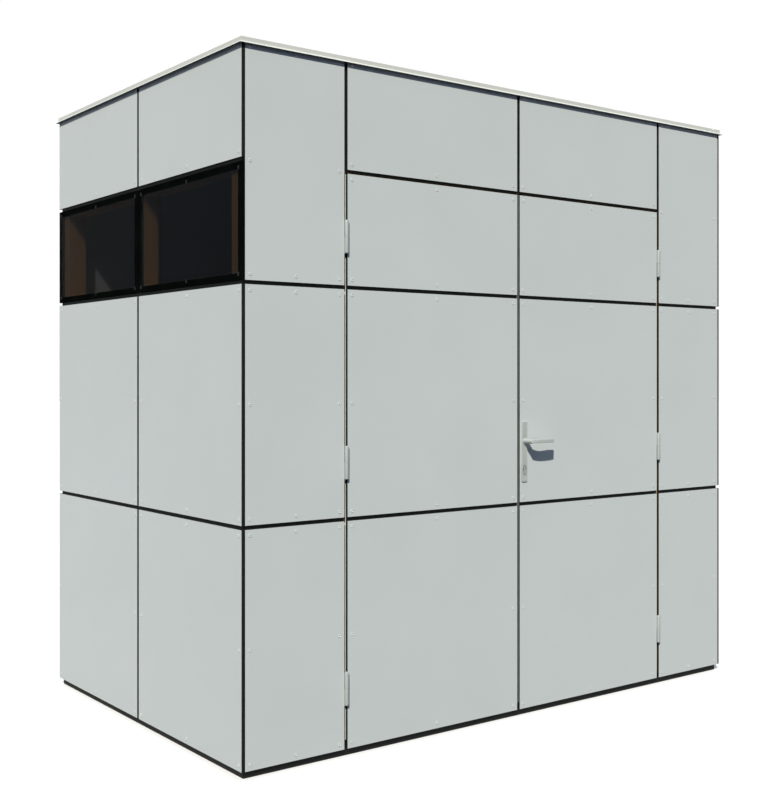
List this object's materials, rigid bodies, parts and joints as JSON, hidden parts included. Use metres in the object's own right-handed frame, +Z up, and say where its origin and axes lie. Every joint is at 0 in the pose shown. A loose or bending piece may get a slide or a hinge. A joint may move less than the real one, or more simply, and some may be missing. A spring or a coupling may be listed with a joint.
{
  "type": "flat-roofed garden shed",
  "caption": "Flat-roofed garden shed with flush grey wall panels on a timber frame, a ribbon window in one side and a double door that swings outwards.",
  "frame": {"origin": "on the ground, below the middle of the panelled walls, on the underside of the middle floor joist", "axes": "+X to the right along the front, +Y from the double door to the back, +Z up"},
  "size_m": [2.368, 1.543, 2.3085],
  "materials": {
    "base_timber": "black stained softwood, matt",
    "frame_timber": "planed spruce, unpainted",
    "sheet_board": "film-free plywood, satin",
    "roof_rubber": "matt rubber membrane",
    "joint_tape": "matt black sealing tape",
    "roof_trim": "off-white powder coat, satin",
    "wall_panel": "light grey compact laminate with a dark core, satin",
    "tinted_glass": "dark tinted glass, gloss",
    "hinge_steel": "satin stainless steel",
    "handle_steel": "satin stainless steel",
    "lock_brass": "nickel-plated brass, satin"
  },
  "bodies": {
    "shed": {"base_front_back": "base_timber", "base_sides": "base_timber", "floor_joists": "base_timber", "floor_board": "sheet_board", "corner_posts": "frame_timber", "door_posts": "frame_timber", "door_header": "frame_timber", "door_stops": "frame_timber", "side_studs": "frame_timber", "back_studs": "frame_timber", "front_side_rails": "frame_timber", "side_wall_rails": "frame_timber", "back_wall_rails": "frame_timber", "top_beams_front_back": "frame_timber", "top_beams_sides": "frame_timber", "roof_joists": "frame_timber", "roof_deck": "sheet_board", "roof_membrane": "roof_rubber", "roof_trim_front_back": "roof_trim", "roof_trim_sides": "roof_trim", "joint_tapes": "joint_tape", "front_side_cladding": "wall_panel", "front_top_cladding": "wall_panel", "left_cladding": "wall_panel", "right_cladding": "wall_panel", "back_cladding": "wall_panel", "window_panes": "tinted_glass", "hinge_frame_halves": "hinge_steel"},
    "left_door": {"left_door_stiles": "frame_timber", "left_door_rails": "frame_timber", "left_door_tape": "joint_tape", "left_door_cladding": "wall_panel", "left_door_hinges": "hinge_steel", "left_strike_plate": "hinge_steel"},
    "right_door": {"right_door_stiles": "frame_timber", "right_door_rails": "frame_timber", "right_door_tape": "joint_tape", "right_door_cladding": "wall_panel", "right_door_hinges": "hinge_steel", "door_backplates": "handle_steel", "lock_cylinder": "lock_brass", "lock_faceplate": "hinge_steel"},
    "door_lever": {"lever_outside": "handle_steel", "lever_inside": "handle_steel", "lever_spindle": "hinge_steel"}
  },
  "joints": [
    {"name": "left_door_swing", "type": "hinge", "parent": "shed", "child": "left_door", "pos_m": [-0.777, -0.7415, 0.9695], "axis": [0, 0, -1], "range_deg": [0, 170]},
    {"name": "right_door_swing", "type": "hinge", "parent": "shed", "child": "right_door", "pos_m": [0.777, -0.7415, 0.9695], "axis": [0, 0, 1], "range_deg": [0, 170]},
    {"name": "lever_turn", "type": "hinge", "parent": "right_door", "child": "door_lever", "pos_m": [0.0285, -0.737, 1.0145], "axis": [0, 1, 0], "range_deg": [0, 45], "stiffness_Nm_per_rad": 1.2, "springref_deg": -34.38}
  ]
}
